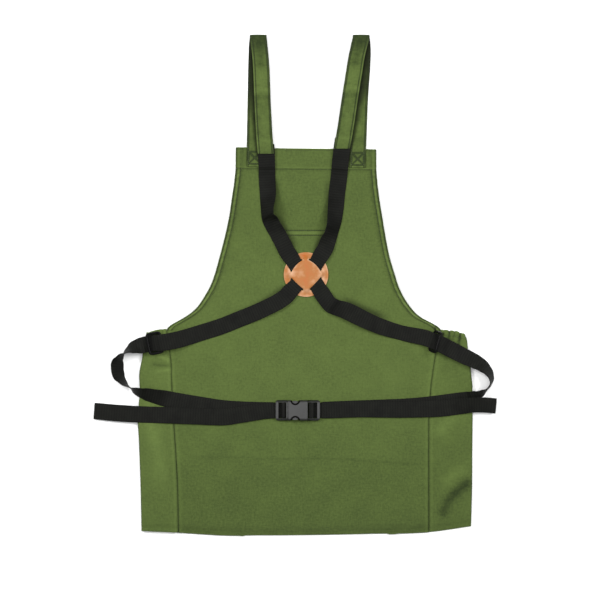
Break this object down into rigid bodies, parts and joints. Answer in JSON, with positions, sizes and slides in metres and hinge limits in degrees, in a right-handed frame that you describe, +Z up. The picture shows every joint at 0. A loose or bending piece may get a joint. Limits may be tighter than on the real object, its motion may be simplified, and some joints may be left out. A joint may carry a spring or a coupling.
{
  "type": "gardening apron",
  "caption": "Canvas gardening apron lying flat, back up: bib with canvas shoulder straps, big front pouch with gathered sides, crossing webbing through a leather patch, and a waist buckle.",
  "frame": {"origin": "on the floor, under the middle of the outline of the apron with its straps and webbing ends", "axes": "+X to the apron's right as it lies with its back up, +Y towards the neck, +Z up from the floor"},
  "size_m": [0.664, 0.8244, 0.0335],
  "materials": {
    "canvas": "olive green cotton canvas, plain weave, matte",
    "webbing": "black polypropylene webbing with fine cross ribs",
    "leather": "tan vegetable-tanned leather, lightly polished, paler at its edges",
    "buckle": "moulded black plastic with a soft sheen",
    "ring": "smooth glossy black"
  },
  "bodies": {
    "root": {"apron_body": "canvas", "pouch_front": "canvas", "side_gusset_left": "canvas", "side_gusset_right": "canvas", "shoulder_strap_left": "canvas", "shoulder_strap_right": "canvas", "cross_webbing_left": "webbing", "cross_webbing_right": "webbing", "waist_webbing_left": "webbing", "waist_webbing_right": "webbing", "webbing_tail_left": "webbing", "webbing_tail_right": "webbing", "leather_patch": "leather", "side_ring_left": "ring", "side_ring_right": "ring", "ring_tab_left": "canvas", "ring_tab_right": "canvas", "buckle_prongs": "buckle", "buckle_housing": "buckle"}
  },
  "joints": []
}
